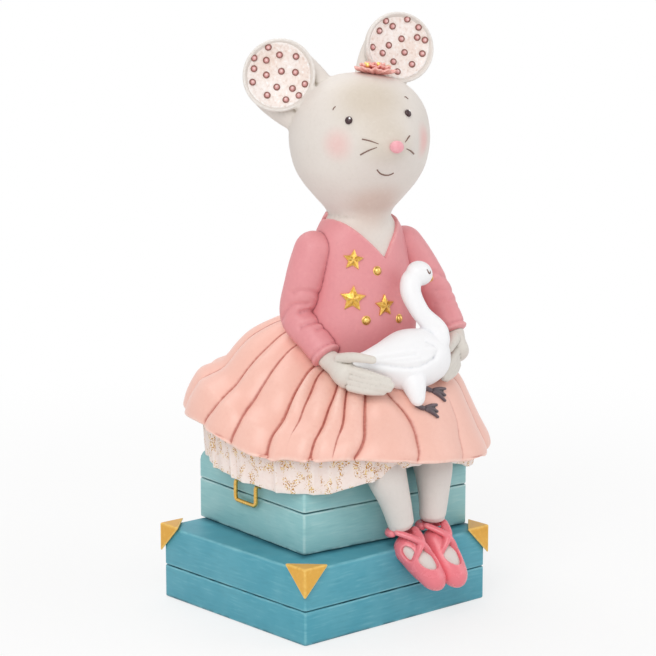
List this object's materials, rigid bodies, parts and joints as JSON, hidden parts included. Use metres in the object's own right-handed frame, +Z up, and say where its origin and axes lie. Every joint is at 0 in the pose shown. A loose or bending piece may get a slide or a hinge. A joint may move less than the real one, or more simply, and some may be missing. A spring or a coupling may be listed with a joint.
{
  "type": "figural money box",
  "caption": "Seated mouse in a ballet dress holding a swan, on two stacked travelling cases that hold coins, with a slot behind and a rubber stopper below.",
  "frame": {"origin": "middle of the footprint of the whole object, on the surface it stands on", "axes": "+Z up, -Y to the front that the mouse faces, +X to the left of the mouse"},
  "size_m": [0.1064, 0.1086, 0.2014],
  "materials": {
    "dark_teal": "matt paint over cast resin, brushed",
    "light_teal": "matt paint over cast resin, brushed",
    "ochre": "matt paint over cast resin",
    "gold": "gold paint with a soft metallic sheen",
    "peach": "matt paint over cast resin, darker in the folds",
    "petticoat_white": "matt paint speckled with gold",
    "rose": "matt paint over cast resin",
    "fur": "matt paint over cast resin",
    "ear_lining": "matt paint over cast resin with pink raised dots",
    "nose_pink": "satin paint over cast resin",
    "eye_dark": "gloss paint over cast resin",
    "coral": "matt paint over cast resin",
    "swan_white": "matt paint over cast resin",
    "beak_orange": "matt paint over cast resin",
    "web_dark": "matt paint over cast resin",
    "tights": "matt paint over cast resin",
    "shoe_coral": "satin paint over cast resin",
    "rubber": "matt soft rubber"
  },
  "bodies": {
    "figure": {"lower_case_tray": "dark_teal", "lower_case_lid": "dark_teal", "case_corner_front_right": "ochre", "case_corner_front_left": "ochre", "case_corner_back_right": "ochre", "upper_case_tray": "light_teal", "upper_case_lid": "light_teal", "case_handle": "gold", "bodice": "rose", "skirt": "peach", "petticoat": "petticoat_white", "ear_right": "fur", "ear_lining_right": "ear_lining", "ear_left": "fur", "ear_lining_left": "ear_lining", "head": "fur", "nose": "nose_pink", "eye_right": "eye_dark", "eye_left": "eye_dark", "hair_flower": "coral", "flower_bead_1": "gold", "flower_bead_2": "gold", "flower_bead_3": "gold", "flower_bead_4": "gold", "star_top": "gold", "star_right": "gold", "star_left": "gold", "stud_top": "gold", "stud_right": "gold", "stud_left": "gold", "swan_body": "swan_white", "swan_beak": "beak_orange", "swan_foot_near": "web_dark", "swan_foot_far": "web_dark", "hand_right": "fur", "sleeve_right": "rose", "hand_left": "fur", "sleeve_left": "rose", "leg_right": "tights", "shoe_right": "shoe_coral", "leg_left": "tights", "shoe_left": "shoe_coral"},
    "stopper": {"stopper": "rubber"}
  },
  "joints": [
    {"name": "stopper_slide", "type": "slide", "parent": "figure", "child": "stopper", "axis": [0, 0, -1], "range_m": [0, 0.03]}
  ]
}
